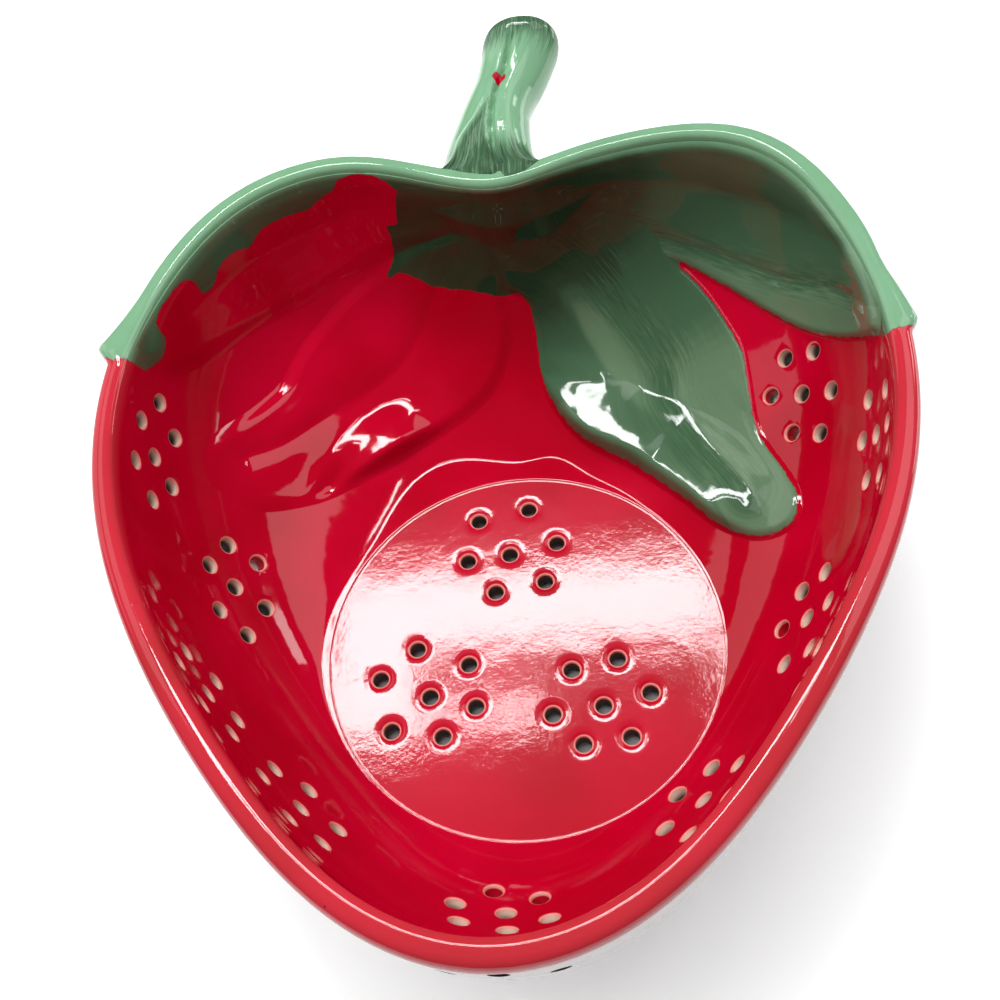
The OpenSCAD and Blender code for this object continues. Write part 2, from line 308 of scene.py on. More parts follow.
def wall_angles(count):
    """Angles round the bowl, up to four times closer together at the two lobes."""
    x = np.linspace(-180, 180, 7201)
    weight = 1 + 3.0 * (np.exp(-((x + LEFT_LOBE) / 2.5) ** 2) + np.exp(-((x - RIGHT_LOBE) / 2.5) ** 2))
    total = np.concatenate([[0], np.cumsum((weight[1:] + weight[:-1]) / 2)])
    return np.interp(np.arange(count) / count * total[-1], total, x)


# The glaze steps down to the floor at a ring, and the wall rises from a soft crease outside it
STEP_EDGE = ((51.65, 7.3), (51.65, 7.84), (51.67, 7.92), (51.73, 7.98), (51.82, 8.0), (52.1, 8.0))
CREASE_W, CREASE_UP, CREASE_STEPS = 0.45, 0.09, 5
# The roll of the lip: its arc, how squarely it was flattened by the sponge, its rise at the lobes
LIP_ARC, LIP_STEPS, LIP_SQUARE, LOBE_LIFT = 148, 16, 0.72, 0.12
WALL_ROWS, OUTER_ROWS = 84, 44
# Share of the outer wall, below the lip, over which a lobe fades out, and the ease on the foot's edge
LOBE_FADE_SHARE = 0.10
FOOT_EASE = 0.3


def wall_section(a):
    """Closed section of wall and lip at an angle: up the inside, over the lip, down the outside."""
    crease_w = CREASE_W + bulges(a, CREASE_BULGES)
    rise = CREASE_UP / crease_w
    off_axis = -RING_BACK * np.cos(np.radians(a))
    flat = [polar(a, r + off_axis, z) for r, z in STEP_EDGE]
    ring = STEP_EDGE[-1][0] + off_axis
    first = np.maximum(flat_reach(a), ring + crease_w + 0.15)
    flat += [polar(a, ring + (first - crease_w - ring) * k / 2, FLOOR_Z) for k in (1, 2)]
    for k in range(1, CREASE_STEPS):
        out = crease_w * k / CREASE_STEPS
        flat.append(polar(a, first - crease_w + out, FLOOR_Z + rise * out ** 2))
    ins = []
    for u in U_IN * np.linspace(0, 1, WALL_ROWS) ** 0.85:
        p = inner(a, u)
        out = np.clip(np.hypot(p[..., 0], p[..., 1] - CENTRE_Y) - first + crease_w, 0, 2 * crease_w)
        p[..., 2] = np.maximum(p[..., 2], FLOOR_Z + rise * out ** 2)
        ins.append(p)
    lip = []
    for t in np.radians(LIP_ARC * (1 - np.arange(LIP_STEPS + 1) / LIP_STEPS)):
        out = math.copysign(abs(math.cos(t)) ** LIP_SQUARE, math.cos(t))
        r = reach(a) - LIP_W / 2 + LIP_W / 2 * out + lobe(a) * (1 + out) / 2
        up = (LIP_ROUND + LOBE_LIFT * lobe(a)) * math.sin(t) ** LIP_SQUARE
        lip.append(polar(a, r, TOP_Z - LIP_ROUND + up))
    outs = []
    for u in np.linspace(U_OUT * 0.995, 0, OUTER_ROWS):
        share = max(0.0, (u / U_OUT - 1) / LOBE_FADE_SHARE + 1)
        outs.append(outer(a, u, lobe(a) * share))
    base = [polar(a, FOOT_R - FOOT_EASE, FOOT_Z), polar(a, STEP_EDGE[0][0] + off_axis, FOOT_Z + FOOT_EASE)]
    return np.stack(flat + ins + lip + outs + base, 1)


AROUND = 420
angles = wall_angles(AROUND)
section = wall_section(angles)
deselect()
bpy.ops.mesh.primitive_torus_add(major_segments=AROUND, minor_segments=section.shape[1],
                                 major_radius=1, minor_radius=0.25)
wall = bpy.context.object
wall.name = wall.data.name = "glazed_wall"
co = coords(wall)
major = np.round(np.arctan2(co[:, 1], co[:, 0]) / (2 * math.pi) * AROUND).astype(int) % AROUND
minor = np.arctan2(co[:, 2], np.hypot(co[:, 0], co[:, 1]) - 1)
minor = np.round(minor / (2 * math.pi) * section.shape[1]).astype(int) % section.shape[1]
place(wall, section[major, minor])
outwards(wall)

# Drain holes, punched through the clay before it was fired: seven to a cluster, one in the middle.
# The even clusters: angle, place up the wall and turn
DRAIN_R = 2.2
WALL_PITCH = 11.5
WALL_CLUSTERS = ((-112, 0.735, 9), (112, 0.745, 51), (138.7, 0.29, 38), (180, 0.745, 30))
# The clusters that were punched less evenly, hole by hole: angle and place up the wall
WALL_HOLES = (
    (-59.6, 0.804), (-64.4, 0.863), (-61.9, 0.7), (-67.4, 0.771), (-70.9, 0.865), (-69.4, 0.674),
    (-74.4, 0.765), (-72.4, 0.412), (-72.6, 0.29), (-78.5, 0.485), (-80.3, 0.374), (-87.1, 0.454),
    (-82, 0.241), (-90.3, 0.331), (-126.3, 0.526), (-130, 0.672), (-131.1, 0.381), (-136.3, 0.535),
    (-140.1, 0.701), (-141.9, 0.396), (-145, 0.586), (-174.3, 0.225), (-168.3, 0.346), (176.6, 0.264),
    (-177.5, 0.347), (-170.5, 0.461), (174.8, 0.407), (-178.5, 0.472), (87.2, 0.481), (88, 0.356),
    (95, 0.553), (95.4, 0.418), (94.8, 0.271), (104.1, 0.518), (104.5, 0.345), (69, 0.894),
    (65.9, 0.763), (74.3, 0.896), (72.5, 0.792), (70.1, 0.693), (80.2, 0.831), (77.4, 0.713),
    (47.2, 0.512), (50.9, 0.607), (48.9, 0.411), (53.6, 0.5), (57.9, 0.604), (56.9, 0.413),
    (61.4, 0.506))
SEVEN = [(0.0, 0.0)] + [(math.cos(math.radians(60 * k)), math.sin(math.radians(60 * k))) for k in range(6)]
PUNCH_SIDES = 28


def punch(name, profile):
    """A round punch, drawn out from its profile of (radius, height) pairs in mm."""
    (foot_r, foot_z), (next_r, next_z) = profile[:2]
    deselect()
    bpy.ops.mesh.primitive_cylinder_add(vertices=PUNCH_SIDES, radius=foot_r * MM, depth=MM,
                                        location=(0, 0, 0), end_fill_type="NGON")
    tool = bpy.context.object
    tool.name = name
    bpy.ops.object.mode_set(mode="EDIT")
    bpy.ops.mesh.select_all(action="DESELECT")
    bpy.ops.object.mode_set(mode="OBJECT")
    for v in tool.data.vertices:
        at_foot = v.co.z < 0
        v.co.z = (foot_z if at_foot else next_z) * MM
        if not at_foot:
            v.co.x *= next_r / foot_r
            v.co.y *= next_r / foot_r
    for (low_r, low_z), (high_r, high_z) in zip(profile[1:-1], profile[2:]):
        top = max(f.center.z for f in tool.data.polygons)
        for f in tool.data.polygons:
            f.select = abs(f.center.z - top) < 1e-9 and f.normal.z > 0.5
        bpy.ops.object.mode_set(mode="EDIT")
        bpy.ops.mesh.extrude_region_move(TRANSFORM_OT_translate=dict(value=(0, 0, (high_z - low_z) * MM)))
        bpy.ops.transform.resize(value=(high_r / low_r, high_r / low_r, 1),
                                 center_override=(0, 0, high_z * MM))
        bpy.ops.object.mode_set(mode="OBJECT")
    return tool


def copy_to(tool, spot, normal):
    """A copy of a punch, with its own mesh, standing on a place with its axis along a normal."""
    twin = tool.copy()
    twin.data = tool.data.copy()
    bpy.context.scene.collection.objects.link(twin)
    lean = Vector(normal).to_track_quat("Z", "Y").to_matrix().to_4x4()
    twin.data.transform(Matrix.Translation(Vector(spot) * MM) @ lean)
    return twin


def joined(objs, name):
    deselect()
    for o in objs:
        o.select_set(True)
    bpy.context.view_layer.objects.active = objs[0]
    bpy.ops.object.join()
    objs[0].name = name
    return objs[0]


def cut(target, tool):
    apply_modifier(target, "BOOLEAN", operation="DIFFERENCE", object=tool, solver="EXACT")
    bpy.data.objects.remove(tool)


# The hole's edge is drawn in by the glaze: bore, then a rounded lead-in
WALL_PUNCH = [(DRAIN_R - 0.1, -14), (DRAIN_R - 0.08, -0.5), (DRAIN_R - 0.02, -0.28),
              (DRAIN_R + 0.1, -0.12), (DRAIN_R + 0.3, -0.02), (DRAIN_R + 0.55, 0.08), (DRAIN_R + 0.9, 1.2)]
tool = punch("wall_punch", WALL_PUNCH)
spots = list(WALL_HOLES)
for a, u, turn in WALL_CLUSTERS:
    # How many mm a degree round the wall, and the whole way up its curve, measure here
    side = np.linalg.norm(inner(a + 0.5, u) - inner(a - 0.5, u))
    up = np.linalg.norm(inner(a, u + 0.005) - inner(a, u - 0.005)) / 0.01
    c, s = math.cos(math.radians(turn)), math.sin(math.radians(turn))
    for x, y in SEVEN:
        px, py = WALL_PITCH * (x * c - y * s), WALL_PITCH * (x * s + y * c)
        spots.append((a + px / side, u + py / up))
hole_places = np.array([inner(a, u) for a, u in spots])
hole_normals = np.array([into_bowl(a, u) for a, u in spots])
holes = [copy_to(tool, place_at, normal) for place_at, normal in zip(hole_places, hole_normals)]
bpy.data.objects.remove(tool)
cut(wall, joined(holes, "wall_punches"))
# A hole counts for the clay that is within this many mm of its mouth
HOLE_LONG, NO_HOLE = 9, 1e9


def hole_reach(co, places, normals):
    """Distance in mm from the nearest hole's axis, and depth below the surface there."""
    best = np.full(len(co), NO_HOLE)
    deep = np.zeros(len(co))
    for p, n in zip(places, normals):
        d = co - p
        along = d @ n
        r = np.linalg.norm(d - along[:, None] * n, axis=1)
        near = (r < best) & (np.abs(along) < HOLE_LONG)
        best[near], deep[near] = r[near], along[near]
    return best, deep


def wall_place(co):
    """Angle and place up the inner wall of points on or near it."""
    x, y = co[:, 0], co[:, 1] - CENTRE_Y
    a = np.degrees(np.arctan2(x, y))
    return a, at_height(np.clip((co[:, 2] - FLOOR_Z) / (TOP_Z - FLOOR_Z), 0, 0.9999))


# The inside's glaze belongs to the first 1.5 mm of the clay, and the white outside ends at this height
INSIDE_DEEP, WHITE_TOP = 1.5, 62.5
FAR_OUT, FAR_IN = 6, -6
co = coords(wall) / MM
a, u = wall_place(co)
r = np.hypot(co[:, 0], co[:, 1] - CENTRE_Y)
lip_mid = reach(a) - LIP_W / 2
inside_wall = inner(a, u)
past = r - np.hypot(inside_wall[:, 0], inside_wall[:, 1] - CENTRE_Y)
past = np.where(co[:, 2] < FLOOR_Z - 0.6, FAR_OUT, past)
past = np.where(co[:, 2] > LIP_Z - 3, r - lip_mid + INSIDE_DEEP, past)
on_inside = past < INSIDE_DEEP
bore, depth = hole_reach(co, hole_places, hole_normals)
# The green is painted near black round the crown, partly as painted shade, paler away from it and towards
# the lip, where it turns mint
BLACK_TONE, MINT_RIM = 0.08, 0.72
CROWN_A, CROWN_SHARE = 3, 0.74


def green_tone(a, z):
    """How light the green is painted, from 0 where it is near black round the crown, partly as painted
    shade, to 1 where it is palest.
    """
    q = (z - FLOOR_Z) / (TOP_Z - FLOOR_Z)
    far = np.hypot((a - CROWN_A) / np.where(a > CROWN_A, 34, 20), (q - CROWN_SHARE) / 0.30)
    top = np.clip((z - 57) / 10, 0, 1)
    return BLACK_TONE + 0.34 * smoothstep(far, 0.75, 2.25) + 0.26 * top * top


def mint_at(z):
    return MINT_RIM * smoothstep(z, 65.5, 69.0)


outside = np.clip((past - INSIDE_DEEP) / 1.2, 0, 1) * np.clip(WHITE_TOP - co[:, 2] + 0.5, FAR_IN, FAR_OUT)
lip_green = np.where(a < 0, LEFT_LOBE + a, RIGHT_LOBE - a) * 2.0 + 0.6
write_values(wall, green_reach=np.where(on_inside | (co[:, 2] < 60), green_reach(a, u), lip_green),
             outside=np.where(on_inside, FAR_IN, outside), bore=bore - DRAIN_R, depth=depth,
             rim=np.where(on_inside, mint_at(co[:, 2]), MINT_RIM), shade=green_tone(a, co[:, 2]),
             brush=np.full(len(co), 0.15))


def node(tree, kind, **values):
    """A new node, with values for its inputs and its settings."""
    n = tree.nodes.new(kind)
    for k, v in values.items():
        if k in n.inputs:
            n.inputs[k].default_value = v
        else:
            setattr(n, k, v)
    return n


def feed(tree, socket, v):
    """Puts a number, a colour or another node's output into a socket."""
    if isinstance(v, (int, float)):
        socket.default_value = v
    elif isinstance(v, tuple):
        socket.default_value = (*v, 1.0)
    else:
        tree.links.new(v, socket)


def value_of(tree, name):
    return node(tree, "ShaderNodeAttribute", attribute_name=name).outputs["Fac"]


def math_node(tree, operation, a, b=0.0):
    n = node(tree, "ShaderNodeMath", operation=operation)
    feed(tree, n.inputs[0], a)
    feed(tree, n.inputs[1], b)
    return n.outputs[0]


def plus(tree, a, b):
    return math_node(tree, "ADD", a, b)


def times(tree, a, b):
    return math_node(tree, "MULTIPLY", a, b)


def swing(tree, pattern, by):
    """A pattern of 0 to 1, turned into one that swings to both sides of zero."""
    return times(tree, math_node(tree, "SUBTRACT", pattern, 0.5), by)


def ramp(tree, value, low, high, to_low=0.0, to_high=1.0):
    """A value, eased from one range to another and held at both ends."""
    n = node(tree, "ShaderNodeMapRange", interpolation_type="SMOOTHSTEP")
    for k, v in (("From Min", low), ("From Max", high), ("To Min", to_low), ("To Max", to_high)):
        n.inputs[k].default_value = v
    tree.links.new(value, n.inputs["Value"])
    return n.outputs[0]


def mixed(tree, share, one, two):
    n = node(tree, "ShaderNodeMix", data_type="RGBA")
    for socket, v in zip((n.inputs[0], n.inputs[6], n.inputs[7]), (share, one, two)):
        feed(tree, socket, v)
    return n.outputs[2]


def noise(tree, vector, scale, detail=2.0, rough=0.5):
    n = node(tree, "ShaderNodeTexNoise", Scale=scale, Detail=detail, Roughness=rough)
    tree.links.new(vector, n.inputs["Vector"])
    return n.outputs["Fac"]


def bump(tree, height, strength, distance, under=None):
    """Normals of a surface with a pattern pressed into it, over those of a broader one."""
    n = node(tree, "ShaderNodeBump", Strength=strength, Distance=distance)
    tree.links.new(height, n.inputs["Height"])
    if under is not None:
        tree.links.new(under, n.inputs["Normal"])
    return n.outputs["Normal"]


def group(name, ins, outs):
    """A node group with named inputs and outputs."""
    g = bpy.data.node_groups.new(name, "ShaderNodeTree")
    for label, kind, default in ins:
        s = g.interface.new_socket(label, in_out="INPUT", socket_type=kind)
        if default is not None:
            s.default_value = default
    for label, kind in outs:
        g.interface.new_socket(label, in_out="OUTPUT", socket_type=kind)
    return g, g.nodes.new("NodeGroupInput"), g.nodes.new("NodeGroupOutput")


NUMBER, COLOUR, VECTOR = "NodeSocketFloat", "NodeSocketColor", "NodeSocketVector"

# Red glaze: poured, deep where it pools and pinkish where it thins, which on the lip and round the holes is
# also a painted highlight, with a few dark specks of dust
RED, RED_DEEP, RED_THIN_AND_SHEEN = (0.56, 0.0006, 0.025), (0.45, 0.0004, 0.014), (0.86, 0.32, 0.27)
DUST_DARK = (0.07, 0.004, 0.006)
DUST_SCALE = 190.0
red_glaze, g_in, g_out = group("red_glaze_colour", [("Place", VECTOR, None), ("Thin", NUMBER, 0.0)],
                               [("Colour", COLOUR)])
pool = noise(red_glaze, g_in.outputs["Place"], 28)
tone = mixed(red_glaze, ramp(red_glaze, pool, 0.35, 0.7), RED, RED_DEEP)
tone = mixed(red_glaze, g_in.outputs["Thin"], tone, RED_THIN_AND_SHEEN)
dust = node(red_glaze, "ShaderNodeTexVoronoi", feature="F1", Scale=DUST_SCALE)
red_glaze.links.new(g_in.outputs["Place"], dust.inputs["Vector"])
rare = node(red_glaze, "ShaderNodeSeparateColor")
red_glaze.links.new(dust.outputs["Color"], rare.inputs[0])
speck = times(red_glaze, ramp(red_glaze, dust.outputs["Distance"], 0.03, 0.07, 1, 0),
              ramp(red_glaze, rare.outputs[0], 0.90, 0.91))
tone = mixed(red_glaze, times(red_glaze, speck, 0.75), tone, DUST_DARK)
red_glaze.links.new(tone, g_out.inputs["Colour"])

# Green glaze: brushed on in long strokes, near black at the crown, where it lies thick and painted shade is
# added, sage where it is thin, and mint on the lip
GREEN_MINT, GREEN_PALE, GREEN_SAGE = (0.23, 0.46, 0.27), (0.15, 0.26, 0.15), (0.125, 0.22, 0.125)
GREEN_MID, GREEN_DARK, GREEN_BLACK = (0.055, 0.125, 0.065), (0.033, 0.062, 0.030), (0.011, 0.032, 0.013)
GREEN_STOPS = ((0.0, GREEN_BLACK), (0.25, GREEN_DARK), (0.52, GREEN_MID), (0.85, GREEN_SAGE),
               (1.0, GREEN_PALE))
green_glaze, g_in, g_out = group("green_glaze_colour",
                                 [("Place", VECTOR, None), ("Stroke", VECTOR, None),
                                  ("Shade", NUMBER, 0.5), ("Rim", NUMBER, 0.0), ("Brush", NUMBER, 0.2)],
                                 [("Colour", COLOUR), ("Streak", NUMBER)])
broad = noise(green_glaze, g_in.outputs["Stroke"], 1.0, 3, 0.55)
fine = noise(green_glaze, g_in.outputs["Stroke"], 7.0, 3, 0.65)
cloud = noise(green_glaze, g_in.outputs["Place"], 45)
streak = plus(green_glaze, swing(green_glaze, broad, 0.16),
              swing(green_glaze, fine, times(green_glaze, g_in.outputs["Brush"], 1.1)))
level = plus(green_glaze, g_in.outputs["Shade"], streak)
level = plus(green_glaze, level, swing(green_glaze, cloud, 0.18))
tones = node(green_glaze, "ShaderNodeValToRGB")
tones.color_ramp.interpolation = "EASE"
while len(tones.color_ramp.elements) < len(GREEN_STOPS):
    tones.color_ramp.elements.new(0.5)
for element, (at, colour) in zip(tones.color_ramp.elements, GREEN_STOPS):
    element.position = at
    element.color = (*colour, 1)
green_glaze.links.new(level, tones.inputs[0])
# Mint shows where the green was worn thin, in streaks at its edges
worn = plus(green_glaze, g_in.outputs["Rim"], times(green_glaze, streak, 1.3))
tone = mixed(green_glaze, ramp(green_glaze, worn, 0.1, 0.9), tones.outputs["Color"], GREEN_MINT)
green_glaze.links.new(tone, g_out.inputs["Colour"])
green_glaze.links.new(streak, g_out.inputs["Streak"])

SEAM_DARK = (0.10, 0.03, 0.02)
# The outside white is tinted pink as painted bounce light from the red glaze, and pinker near the lip,
# partly its translucent edge and partly painted reflection
WHITE_AND_PAINTED_BOUNCE, PINK_EDGE_AND_REFLECTION = (0.81, 0.75, 0.75), (0.80, 0.45, 0.44)
# Deep in a hole the clay is given a near black painted shade colour
RAW_CLAY, BORE_SHADE, CLAY_ROUGH = (0.76, 0.55, 0.44), (0.035, 0.015, 0.010), 0.6


def new_material(name, **values):
    """A material with its tree and its one shader, whose inputs are named with _ for each space."""
    mat = bpy.data.materials.new(name)
    mat.use_nodes = True
    tree = mat.node_tree
    shader = tree.nodes["Principled BSDF"]
    for k, v in values.items():
        feed(tree, shader.inputs[k.replace("_", " ")], v)
    return mat, tree, shader


def glaze_material(name, white_outside=False, bores=False, bore_clay_and_shade=RAW_CLAY, gloss=0.05, peel=0.0,
                   haze=0.0):
    """Clear gloss over red and green glaze, parted where the green was brushed to."""
    mat, tree, shader = new_material(name, Roughness=gloss, IOR=1.5, Coat_Weight=haze, Coat_Roughness=0.32)
    where = node(tree, "ShaderNodeTexCoord").outputs["Object"]
    stroke = node(tree, "ShaderNodeUVMap", uv_map="stroke").outputs["UV"]
    red = node(tree, "ShaderNodeGroup", node_tree=red_glaze)
    green = node(tree, "ShaderNodeGroup", node_tree=green_glaze)
    tree.links.new(where, red.inputs["Place"])
    tree.links.new(where, green.inputs["Place"])
    tree.links.new(stroke, green.inputs["Stroke"])
    for label in ("Shade", "Rim", "Brush"):
        tree.links.new(value_of(tree, label.lower()), green.inputs[label])
    edge = plus(tree, value_of(tree, "green_reach"), swing(tree, noise(tree, where, 420), 1.2))
    parted = ramp(tree, edge, -0.12, 0.12)
    colour = mixed(tree, parted, red.outputs["Colour"], green.outputs["Colour"])
    # The two glazes run into a thin dark line where they meet
    line = math_node(tree, "ABSOLUTE", edge)
    colour = mixed(tree, ramp(tree, line, 0.0, 0.35, 0.35, 0.0), colour, SEAM_DARK)
    if bores:
        # The glaze ran thin, and so paler, at the edges of the holes and over the lip, and this pale pink is
        # also a painted highlight there
        hole_edge = ramp(tree, value_of(tree, "bore"), 0.15, 0.5, 1.0, 0.0)
        thin_and_sheen = math_node(tree, "MAXIMUM", hole_edge, times(tree, value_of(tree, "rim"), 0.12))
        tree.links.new(thin_and_sheen, red.inputs["Thin"])
    if white_outside:
        # Pinker towards the lip: partly the glaze's translucent edge, partly painted reflection
        out = plus(tree, value_of(tree, "outside"), swing(tree, noise(tree, where, 60), 3.0))
        white = mixed(tree, ramp(tree, out, 0.2, 3.0), PINK_EDGE_AND_REFLECTION, WHITE_AND_PAINTED_BOUNCE)
        colour = mixed(tree, ramp(tree, out, -0.3, 0.3), colour, white)
    if bores:
        # Inside a hole the clay is bare, with painted shade that darkens it the deeper it lies
        raw = times(tree, ramp(tree, value_of(tree, "bore"), 0.12, 0.02, 0, 1),
                    ramp(tree, value_of(tree, "depth"), -0.6, -0.25, 1, 0))
        lit = ramp(tree, value_of(tree, "depth"), -3.2, -1.0)
        colour = mixed(tree, raw, colour, mixed(tree, lit, BORE_SHADE, bore_clay_and_shade))
        tree.links.new(ramp(tree, raw, 0, 1, gloss, CLAY_ROUGH), shader.inputs["Roughness"])
    tree.links.new(colour, shader.inputs["Base Color"])
    # A slow swell in the glaze, ridges along the brush strokes, and the fine grain of its skin
    swell = bump(tree, noise(tree, where, 110), 0.10, 0.0006)
    brushed = bump(tree, times(tree, green.outputs["Streak"], parted), 0.10, 0.0002, swell)
    skin = bump(tree, noise(tree, where, 900, 2, 0.6), peel, 0.0001, brushed)
    tree.links.new(skin, shader.inputs["Normal"])
    return mat


def stroke_map(obj, across, along, wide=5.0, long=70.0):
    """A UV map that runs along the brush strokes, in stroke widths and lengths."""
    layer = obj.data.uv_layers.get("stroke") or obj.data.uv_layers.new(name="stroke")
    at = np.empty(len(obj.data.loops), int)
    obj.data.loops.foreach_get("vertex_index", at)
    uv = np.stack([np.asarray(across)[at] / wide, np.asarray(along)[at] / long], -1)
    layer.data.foreach_set("uv", uv.ravel())


MEAN_REACH = 95
stroke_map(wall, co[:, 2], np.radians(a) * MEAN_REACH)
wall.data.materials.append(glaze_material("wall_glaze", white_outside=True, bores=True))
smooth(wall, 35)
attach(wall, "root")
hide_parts("bowl_wall", "red_lip", "calyx_lip")

# Floor
# A flat round floor with a low ring at its edge, and three clusters of seven holes, each in a
# shallow dish that the punch pressed. It is cast with the wall and has the same red glaze.

# The holes as they were punched, from the bowl's axis
FLOOR_HOLES = (
    (-12.4, 37.8), (1.6, 40.6), (9.2, 29.3), (-3.7, 26.5), (-15.3, 25.2), (-7.6, 15.2), (5.8, 17.6),
    (-28.4, -0.6), (-37.9, -8.7), (-24.6, -14.3), (-14.6, -5.7), (-12.6, -17.6), (-34.3, -23.2),
    (-21.0, -25.3), (12.2, -8.7), (24.1, -6.2), (32.0, -16.0), (20.0, -19.0), (7.1, -20.7),
    (26.6, -27.6), (14.6, -29.0))
# The floor lies a little lower than the wall's flat. Each hole has a dish, a cone inside it and a
# bead of glaze at its edge, and a run of glaze came down off the wall at the left
FLOOR_DROP, DISH_DEEP, CONE_DEEP, BEAD_HIGH = 0.25, 0.10, 0.5, 0.22
RUN_X, RUN_Y, RUN_LONG, RUN_WIDE, RUN_HIGH = -50, -5.5, 8.0, 4.0, 0.04
floor_spots = np.array(FLOOR_HOLES) + (0, CENTRE_Y)


def floor_height(x, y):
    """Top of the floor: a soft hollow and a drawn-in edge round each hole, a rise to the ring."""
    r = np.hypot(x, y - CENTRE_Y + RING_BACK)
    z = FLOOR_Z - FLOOR_DROP + 0.10 * np.clip(r - 51.0, 0, 0.65) ** 2
    for sx, sy in floor_spots:
        d = np.hypot(x - sx, y - sy)
        z = z - DISH_DEEP * smoothstep(d, 4.7, 2.8) - CONE_DEEP * smoothstep(d, 3.1, 2.3)
        z = z + BEAD_HIGH * np.exp(-((d - 2.35) / 0.28) ** 2)
    run = ((x - RUN_X) / RUN_LONG) ** 2 + ((y - CENTRE_Y - RUN_Y) / RUN_WIDE) ** 2
    return z + RUN_HIGH * smoothstep(run, 1.35, 0.85)


# The mesh has rings, closer together near the rim, and leaves a pinhole in the glaze in the middle
RINGS, SPOKES = 165, 400
RING_SHARES, RING_REACHES = (0, 0.86, 1), (0.15, 50.1, FLOOR_RIM)
UNDERSIDE_Z = FOOT_Z + 0.35
deselect()
bpy.ops.mesh.primitive_grid_add(x_subdivisions=SPOKES, y_subdivisions=RINGS, size=2)
floor = bpy.context.object
floor.name = floor.data.name = "glazed_floor"
co = coords(floor)
turn = (co[:, 0] + 1) * math.pi
r = np.interp((co[:, 1] + 1) / 2, RING_SHARES, RING_REACHES)
x, y = r * np.cos(turn), CENTRE_Y - RING_BACK + r * np.sin(turn)
place(floor, np.stack([x, y, floor_height(x, y)], -1))
in_edit(floor, bpy.ops.mesh.remove_doubles, threshold=1e-6)
# The rim drops behind the wall, then the underside closes the slab
only(floor)
bpy.ops.object.mode_set(mode="EDIT")
bpy.ops.mesh.select_all(action="DESELECT")
bpy.ops.mesh.select_mode(type="EDGE")
bpy.ops.mesh.select_non_manifold()
bpy.ops.mesh.extrude_region_move(TRANSFORM_OT_translate=dict(value=(0, 0, 0)))
bpy.ops.object.mode_set(mode="OBJECT")
for v in floor.data.vertices:
    if v.select:
        v.co.z = UNDERSIDE_Z * MM
bpy.ops.object.mode_set(mode="EDIT")
bpy.ops.mesh.edge_face_add()
bpy.ops.object.mode_set(mode="OBJECT")
outwards(floor)
FLOOR_PUNCH = [(DRAIN_R - 0.2, -7), (DRAIN_R - 0.15, -0.35), (DRAIN_R - 0.05, 0.0), (DRAIN_R + 0.15, 0.3),
               (DRAIN_R + 0.3, 1.5)]
tool = punch("floor_punch", FLOOR_PUNCH)
HOLE_Z = FLOOR_Z - FLOOR_DROP - DISH_DEEP - CONE_DEEP
holes = [copy_to(tool, (sx, sy, HOLE_Z), (0, 0, 1)) for sx, sy in floor_spots]
bpy.data.objects.remove(tool)
cut(floor, joined(holes, "floor_punches"))
co = coords(floor) / MM
spots_xyz = np.column_stack([floor_spots, np.full(len(floor_spots), HOLE_Z)])
bore, depth = hole_reach(co, spots_xyz, np.tile([0.0, 0.0, 1.0], (len(floor_spots), 1)))
write_values(floor, green_reach=np.full(len(co), -20.0), bore=bore - DRAIN_R, depth=depth,
             rim=np.zeros(len(co)), shade=np.full(len(co), 0.5))
stroke_map(floor, co[:, 0], co[:, 1])
# The clay in the floor's holes is painted dark brown all through, as painted shade from the closed space
# under the floor
SHADED_BORE_CLAY = (0.10, 0.045, 0.03)
floor.data.materials.append(glaze_material("floor_glaze", bores=True, bore_clay_and_shade=SHADED_BORE_CLAY, gloss=0.065,
                                           peel=0.16, haze=0.16))
smooth(floor, 35)
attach(floor, "root")
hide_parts("bowl_floor")

# Foot ring
# A low ring of bare clay that the bowl stands on, with three arches cut across it so that rinsing
# water runs out. It is wiped free of glaze, and its edges are worn round.

CLAY_PALE, CLAY_DARK = (0.72, 0.62, 0.50), (0.55, 0.44, 0.33)
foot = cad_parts["foot_ring"]
clay, tree, shader = new_material("bare_clay", Roughness=0.85)
grit = noise(tree, node(tree, "ShaderNodeTexCoord").outputs["Object"], 900, 3, 0.6)
tree.links.new(mixed(tree, ramp(tree, grit, 0.35, 0.7), CLAY_PALE, CLAY_DARK), shader.inputs["Base Color"])
tree.links.new(bump(tree, grit, 0.4, 0.0002), shader.inputs["Normal"])
foot.data.materials.clear()
foot.data.materials.append(clay)

# Leaves and crown
# Thin leaves of clay that stand out on the inside of the wall, smoothed down, with a crease along
# each midrib. Green glaze is brushed over the right-hand ones and the crown, and only a ragged
# fringe of it covers the left-hand ones, which are red like the wall.

LEAF_STEP, LEAF_THICK = 0.8, 0.9
# Room round a leaf's outline for its skirt: degrees, share of the wall's curve
LEAF_MARGIN = (2.5, 0.03)
# The leaves sink towards the crown, which stands at this height, with this many mm to a degree
CROWN_Z, CROWN_MM = 54, 1.8
# The line along which the wall meets the floor, with this many mm to a degree
WALL_FOOT = np.stack([np.linspace(-90, 90, 61), np.zeros(61)], -1)
WALL_FOOT_MM = 1.3


